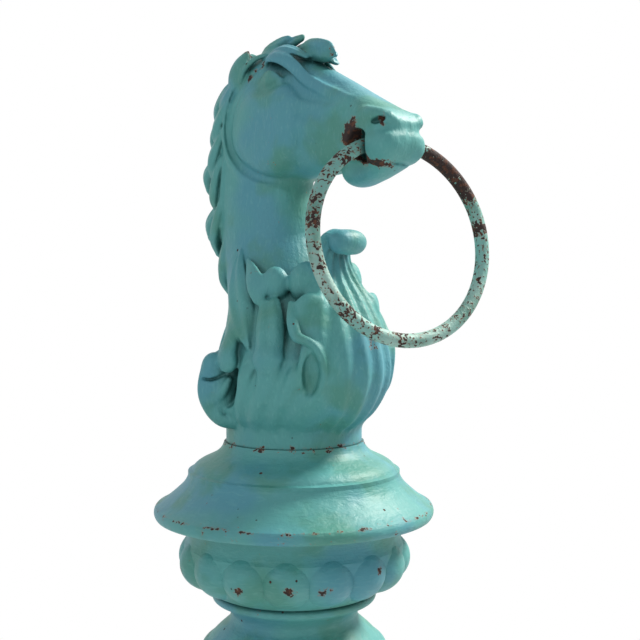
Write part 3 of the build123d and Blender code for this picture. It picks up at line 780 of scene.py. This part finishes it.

# %% [markdown]
# ## What a finish can read
#
# A painter looks at the grain of the iron, at edges that get knocked, and at pits from rust, and here also
# at folds, where shade is painted in as darker paint. Each of these is one short method here, and sizes
# are in millimetres. All of them work on the place on the part and need no picture, so they fit pieces of
# any shape.

# %% Finishes
class Finish(Recipe):
    """One material's recipe, and the place on the part that it reads."""

    def __init__(self, name):
        self.material = bpy.data.materials.new(name)
        super().__init__(self.material)
        self.place = self.node("ShaderNodeTexCoord").outputs["Object"]

    def drawn_out(self, amounts):
        """The place with an axis shortened, so that a noise read there is drawn out along it."""
        node = self.node("ShaderNodeVectorMath", {"operation": "MULTIPLY"}, {0: self.place, 1: amounts})
        return node.outputs[0]

    def grain(self, size, along=(1, 1, 1), detail=3.0, warp=0.0):
        """Noise with lumps of about this many millimetres."""
        node = self.node("ShaderNodeTexNoise", {}, {"Vector": self.drawn_out(along), "Scale": 1000 / size,
                                                    "Detail": detail, "Distortion": warp})
        return Reading(self, node.outputs[0])

    def near(self, place, reach):
        """One at a place and nought beyond the reach."""
        spot = tuple(float(c) / 1000 for c in place)
        node = self.node("ShaderNodeVectorMath", {"operation": "DISTANCE"}, {0: self.place, 1: spot})
        return Reading(self, node.outputs["Value"]).eased(reach / 1000, 0.0)

    def height(self):
        node = self.node("ShaderNodeSeparateXYZ", {}, {0: self.place})
        return Reading(self, node.outputs["Z"]) * 1000

    def radius(self):
        node = self.node("ShaderNodeVectorMath", {"operation": "LENGTH"}, {0: self.drawn_out((1, 1, 0))})
        return Reading(self, node.outputs["Value"]) * 1000

    def band(self, height, half):
        """One at a height, and nought this far above and below it."""
        return abs(self.height() - height).eased(half, half * 0.3)

    def pits(self, spacing, share, radius):
        """Round pits: one cell in so many holds one, and its radius is a share of the cell."""
        node = self.node("ShaderNodeTexVoronoi", {}, {"Vector": self.place, "Scale": 1000 / spacing})
        picked = self.node("ShaderNodeSeparateColor", {}, {0: node.outputs["Color"]})
        dot = Reading(self, node.outputs["Distance"]).eased(radius, radius * 0.6)
        return dot * Reading(self, picked.outputs[0]).eased(1 - share, 1 - share + 0.01)

    def hollows(self, reach):
        """One deep in a fold and nought on open ground, from how much sky a point sees within the reach."""
        node = self.node("ShaderNodeAmbientOcclusion", {"samples": 8}, {"Distance": reach / 1000})
        return 1 - Reading(self, node.outputs["AO"])

    def blend(self, share, first, second):
        """A colour between two colours."""
        return self.node("ShaderNodeMix", {"data_type": "RGBA"}, {0: share, 6: first, 7: second}).outputs[2]

    def surface(self, colour, roughness, relief, metallic=0.0):
        """The shader itself. relief is in millimetres."""
        bump = self.node("ShaderNodeBump", {}, {"Strength": 1.0, "Distance": 0.001, "Height": relief})
        shader = self.node("ShaderNodeBsdfPrincipled", {}, {"Base Color": colour, "Roughness": roughness,
                                                            "Metallic": metallic, "Normal": bump.outputs[0]})
        self.node("ShaderNodeOutputMaterial", {}, {"Surface": shader.outputs[0]})
        return self.material


def paint(node_name, material):
    """Give a casting of the frame its material."""
    for slot in nodes[node_name].material_slots:
        slot.material = material


print("finishes can read grain, folds, knocks, bands and pits")

# %% [markdown]
# ## Turquoise paint over rusting iron
#
# The post has had many coats, laid on with a stiff brush. The coats are bluer in one place and greener
# in another, rubbed pale where the brush dragged, and painted darker and greener in folds as shade.
# Where iron has been knocked the paint has come off in small flakes, down to rust that is nearly
# black with an orange edge. A photograph of paint would fit one casting only, so one recipe paints
# every casting, each with its own knocks and wear.

# %% Painted iron
TURQUOISE = card(94, 170, 166)
BLUER = card(88, 160, 174)
GREENER = card(82, 152, 134)
# A dark green that paints shade into folds.
PAINTED_FOLD_SHADE = card(42, 94, 90)
RUBBED = card(150, 214, 206)
BLACK_RUST = card(44, 28, 24)
BROWN_RUST = card(92, 54, 36)
ORANGE_RUST = card(176, 98, 60)

TONE_SIZE = 70
PATCH_SIZE = 38
FLAKE_SIZE = 6.5
SPECK_SIZE = 1.5
BRUSH_MARK = 1.9
FOLD_REACH = 18
KNOCK_DAMAGE = 0.36
LASTING = 0.96
RUST_CLOUD = 4


def painted_iron(name, strokes, knocks=(), wear=0.0, edge=None, flake=FLAKE_SIZE,
                 coat=(TURQUOISE, BLUER, GREENER)):
    """Brushed paint on iron. strokes draws the brush marks out, and knocks are places and their reach."""
    finish = Finish(name)
    brushed = finish.grain(BRUSH_MARK, along=strokes, detail=4.0, warp=0.5)
    folds = finish.hollows(FOLD_REACH)
    colour = finish.blend(finish.grain(TONE_SIZE, detail=2.0).eased(0.42, 0.6), coat[0], coat[1])
    colour = finish.blend(finish.grain(PATCH_SIZE, detail=3.0).eased(0.48, 0.66) * 0.8, colour, coat[2])
    # Painted shade: folds that see little sky within the reach are darkened towards a deep green.
    colour = finish.blend(folds.eased(0.15, 0.72) * 0.85, colour, PAINTED_FOLD_SHADE)
    colour = finish.blend(brushed.eased(0.5, 0.75) * 0.16, colour, RUBBED)

    wander, speck = finish.grain(flake, detail=5.0, warp=0.4), finish.grain(SPECK_SIZE, detail=2.0)
    damage = wander * 0.9 + speck * 0.45
    for place, reach in knocks:
        damage = damage + finish.near(place, reach) * KNOCK_DAMAGE
    if edge is not None:
        damage = damage + edge(finish)
    limit = LASTING - wear
    stained, bare = damage.eased(limit - 0.06, limit), damage.eased(limit, limit + 0.02)
    pits = finish.pits(11, 0.22, 0.1) | finish.pits(19, 0.3, 0.075)
    colour = finish.blend(stained * 0.45, colour, ORANGE_RUST)
    rust = finish.blend(finish.grain(RUST_CLOUD, detail=3.0).eased(0.5, 0.62), BLACK_RUST, BROWN_RUST)
    colour = finish.blend(bare | pits, colour, rust)
    roughness = 0.44 + brushed * 0.12 + (bare | pits) * 0.3
    relief = brushed * 0.35 + wander * 0.7 - bare * 0.3 - pits * 0.35 + speck * bare * 0.4
    return finish.surface(colour, roughness, relief)


print("one recipe for paint, with", BRUSH_MARK, "mm brush marks")

# %% [markdown]
# ## The head's paint
#
# The ring has knocked the paint off round the mouth, and rain has got into the nostrils and the ears.
# Each knock is a place and how far it reaches, so the flakes gather where the real ones do. The
# brush went up and down the neck.

# %% Paint the head
UPRIGHT = (1, 1, 0.3)
HEAD_KNOCKS = (
    (at(76, 19, 1033), 19), (at(80, 19, 1027), 13), (at(73, 21, 1040), 12), (at(76, 22, 1047), 8),
    (at(86, 18, 1021), 10), (at(94, 15, 1019), 9), (at(100, 8, 1017), 9), (at(99, 18, 1047), 8),
    (at(-9, 23, 1098), 8), (at(-17, 23, 1094), 7), (at(-22, 24, 1088), 6), (at(-30, 17, 1107), 6),
    (at(43, 3, 1099), 7), (at(71, -4, 902), 9), (at(80, -19, 1031), 19), (at(84, -21, 1021), 9),
)


def seam_wear(finish):
    """Rust in the seam where the collar stands on the cap."""
    return finish.band(COLLAR_FOOT + 0.5, 3) * 0.2


head.data.materials.append(painted_iron("head paint", UPRIGHT, HEAD_KNOCKS, edge=seam_wear))
print("the head is painted, with", len(HEAD_KNOCKS), "knocks")

# %% [markdown]
# ## Cap, capital, shaft and base
#
# These castings are turned shapes, so the brush went round them. The cap's rim is the widest part of
# the top and takes the knocks from carts and bridles, so its edge is chipped all the way round. The
# capital has a few larger flakes low on its lobes, and the foot is chipped near the ground. Radius and
# height place this wear, because it follows the castings' shape and not the world's noise.

# %% Paint the castings
ROUND_ABOUT = (0.22, 0.22, 1)
LOBE_KNOCKS = (
    ((-77, -27, 742.5), 9), ((-60, -56, 742.5), 9), ((-42, -70, 742), 9), ((-1, -82, 750), 6),
    ((77, 20, 741), 9), ((20, 78, 744), 8), ((-74, 36, 742), 8),
)


def rim_wear(finish):
    """The rim's edge, with a chipped line along its top, and the seam under the collar."""
    return (finish.radius().eased(96.5, 98.5) * 0.09 + finish.band(785.5, 2.2) * 0.13
            + finish.band(COLLAR_FOOT - 0.5, 3) * 0.2)


def foot_wear(finish):
    """The lowest 12 mm of the foot, fading out by 22 mm."""
    return finish.height().eased(22, 12) * 0.06


paint("stepped_cap", painted_iron("cap paint", ROUND_ABOUT, edge=rim_wear))
paint("gadroon_capital", painted_iron("capital paint", ROUND_ABOUT, LOBE_KNOCKS))
paint("fluted_shaft", painted_iron("shaft paint", UPRIGHT, wear=0.01))
paint("moulded_base", painted_iron("base paint", ROUND_ABOUT, wear=0.03, edge=foot_wear))
print("four castings painted")

# %% [markdown]
# ## The ring
#
# The ring swings and knocks all day, so its paint is the most worn. What is left is bleached, and the
# rest has flaked down to brown rust in small chips, most of all on the far shoulder. Its knocks are
# given as angles round the bar, because that is how they are counted on the real ring.

# %% Paint the ring
BLEACHED = card(132, 190, 180)
CHALKY = card(168, 206, 194)
# The ring's paint as it looks in shade, laid on in random patches as painted shade.
SHADED_GREEN = card(92, 146, 130)
RING_RADIUS = 66
RING_MIDDLE = Vector((2.6, -98.0, 970.4))
RING_SIDE = Vector((0.9632, -0.2689, 0.0))
RING_RISE = Vector((0.0462, 0.1656, 0.9851))


def on_ring(angle):
    """A place on the bar, by its angle up from the ring's far side."""
    turn = math.radians(angle)
    return RING_MIDDLE + (RING_SIDE * math.cos(turn) + RING_RISE * math.sin(turn)) * RING_RADIUS


ring_knocks = [(on_ring(angle), reach) for angle, reach in
               ((64, 12), (54, 16), (44, 15), (32, 13), (8, 10), (128, 9), (142, 7), (158, 8), (170, 9),
                (196, 7), (226, 9), (245, 7), (262, 8))]
paint("mouth_ring", painted_iron("ring paint", (1, 1, 1), ring_knocks, wear=0.19, flake=3.0,
                                 coat=(BLEACHED, CHALKY, SHADED_GREEN)))
print("the ring has", len(ring_knocks), "bad places")

# %% [markdown]
# ## Rod, nut and bar
#
# The fittings inside the castings were never painted. They are dull steel, with rust in patches. The
# same readings make them, with metal where the rust is missing.

# %% Bare fittings
def bare_steel(name, rusted):
    """Steel with this share of rust."""
    finish = Finish(name)
    patch, fine = finish.grain(9, detail=5.0), finish.grain(1.5, detail=3.0)
    rust = (patch * 0.7 + fine * 0.3).eased(0.62 - 0.25 * rusted, 0.7 - 0.25 * rusted)
    scale = finish.blend(fine.eased(0.4, 0.65), BLACK_RUST, BROWN_RUST)
    colour = finish.blend(rust, card(112, 110, 108), scale)
    return finish.surface(colour, 0.4 + rust * 0.45, fine * 0.2 + rust * 0.25, metallic=0.9 - rust * 0.9)


paint("base_bridge_bar", bare_steel("bare bar", 0.9))
fitting_steel = bare_steel("rod steel", 0.6)
for fitting in ("tie_rod", "tie_rod_washer", "tie_rod_nut", "locating_pins"):
    paint(fitting, fitting_steel)
print("five fittings in bare steel")

# %% [markdown]
# ## Floor and room
#
# The post stands on a pale floor that keeps its shadow and fades to white for the camera before its
# edge shows. The room is white where the camera sees it and dimmer where it lights the iron, so the
# background is clean and the paint still has shade.

# %% Floor and room
FLOOR_RADIUS, FLOOR_SIDES = 1.7, 96
FADE_FROM, FADE_TO = 0.45, 1.5
SKY_COLOUR, SKY_STRENGTH = (0.86, 0.94, 1.0, 1), 0.36

pale_floor = Finish("pale floor")
away = pale_floor.node("ShaderNodeVectorMath", {"operation": "LENGTH"}, {0: pale_floor.place})
far_off = Reading(pale_floor, away.outputs["Value"]).eased(FADE_FROM, FADE_TO)
fading = far_off * pale_floor.ray("Is Camera Ray")
plaster = pale_floor.node("ShaderNodeBsdfPrincipled", {},
                          {"Base Color": (0.86, 0.86, 0.86, 1), "Roughness": 0.9})
white = pale_floor.node("ShaderNodeEmission", {}, {"Color": (1, 1, 1, 1), "Strength": 1.0})
mixed = pale_floor.node("ShaderNodeMixShader", {}, {0: fading, 1: plaster.outputs[0], 2: white.outputs[0]})
pale_floor.node("ShaderNodeOutputMaterial", {}, {"Surface": mixed.outputs[0]})

rim = [math.tau * side / FLOOR_SIDES for side in range(FLOOR_SIDES)]
floor_mesh = bpy.data.meshes.new("floor")
floor_mesh.from_pydata([(FLOOR_RADIUS * math.cos(a), FLOOR_RADIUS * math.sin(a), 0) for a in rim], [],
                       [tuple(range(FLOOR_SIDES))])
floor = bpy.data.objects.new("floor", floor_mesh)
floor_mesh.materials.append(pale_floor.material)
bpy.context.scene.collection.objects.link(floor)

world = bpy.data.worlds.new("pale room")
bpy.context.scene.world = world
room = Recipe(world)
seen = room.ray("Is Camera Ray") | (room.ray("Is Glossy Ray") | room.ray("Is Transmission Ray"))
bright = room.node("ShaderNodeBackground", {}, {"Color": (1, 1, 1, 1), "Strength": 1.0})
sky = room.node("ShaderNodeBackground", {}, {"Color": SKY_COLOUR, "Strength": SKY_STRENGTH})
either = room.node("ShaderNodeMixShader", {}, {0: seen, 1: sky.outputs[0], 2: bright.outputs[0]})
room.node("ShaderNodeOutputWorld", {}, {"Surface": either.outputs[0]})
print("the floor is", 2 * FLOOR_RADIUS, "m across")

# %% [markdown]
# ## Camera
#
# The photograph was taken level with the horse's lower neck, from its right front. The ring's ellipse,
# the cap's rim and the seam under the collar fix how far off the camera stood and how long its lens
# was. The horizon stands above the middle of the picture, so the camera is tipped down to match.

# %% Camera
FOCAL_PIXELS = 1065
PHOTO_WIDTH = 640
CAMERA_AWAY = 0.763
CAMERA_HEIGHT = 0.942
CAMERA_ROUND = math.radians(46)
AXIS_COLUMN = 294
HORIZON_ROW = 284

towards = Vector((-math.cos(CAMERA_ROUND), -math.sin(CAMERA_ROUND), 0))
rightward = Vector((math.sin(CAMERA_ROUND), -math.cos(CAMERA_ROUND), 0))
aim = (-towards + rightward * (PHOTO_WIDTH / 2 - AXIS_COLUMN) / FOCAL_PIXELS
       - Vector((0, 0, 1)) * (PHOTO_WIDTH / 2 - HORIZON_ROW) / FOCAL_PIXELS)
lens = bpy.data.cameras.new("camera")
lens.sensor_width = 36
lens.lens = lens.sensor_width * FOCAL_PIXELS / PHOTO_WIDTH
lens.clip_start, lens.clip_end = 0.05, 60
camera = bpy.data.objects.new("camera", lens)
camera.location = towards * CAMERA_AWAY + Vector((0, 0, CAMERA_HEIGHT))
camera.rotation_mode = "QUATERNION"
camera.rotation_quaternion = aim.to_track_quat("-Z", "Y")
bpy.context.scene.collection.objects.link(camera)
bpy.context.scene.camera = camera
print("the lens is", round(lens.lens, 1), "mm")

# %% [markdown]
# ## Light
#
# A large soft lamp stands high on the right and a little behind, where the sun stood, and a weaker one
# on the left opens the shade. Soft lamps keep the paint near its own colour, where hard sun would
# bleach half of it to white.

# %% Lamps
LIT_HEIGHT = 0.75


def lamp(name, place, size, power, colour):
    """A round lamp that faces the post. place and size are in metres."""
    light = bpy.data.lights.new(name, "AREA")
    light.shape = "DISK"
    light.size = size
    light.energy = power
    light.color = colour
    lit = bpy.data.objects.new(name, light)
    lit.location = place
    lit.rotation_mode = "QUATERNION"
    lit.rotation_quaternion = (Vector((0, 0, LIT_HEIGHT)) - Vector(place)).to_track_quat("-Z", "Y")
    bpy.context.scene.collection.objects.link(lit)
    return lit


key_place = rightward * 1.9 - towards * 0.75 + Vector((0, 0, 2.9))
fill_place = towards * 2.0 - rightward * 1.4 + Vector((0, 0, 1.8))
lamp("key lamp", key_place, size=0.7, power=108, colour=(1.0, 0.97, 0.9))
lamp("fill lamp", fill_place, size=2.0, power=9, colour=(0.85, 0.93, 1.0))
bpy.context.scene.view_settings.view_transform = "Standard"
print("two lamps face the post")
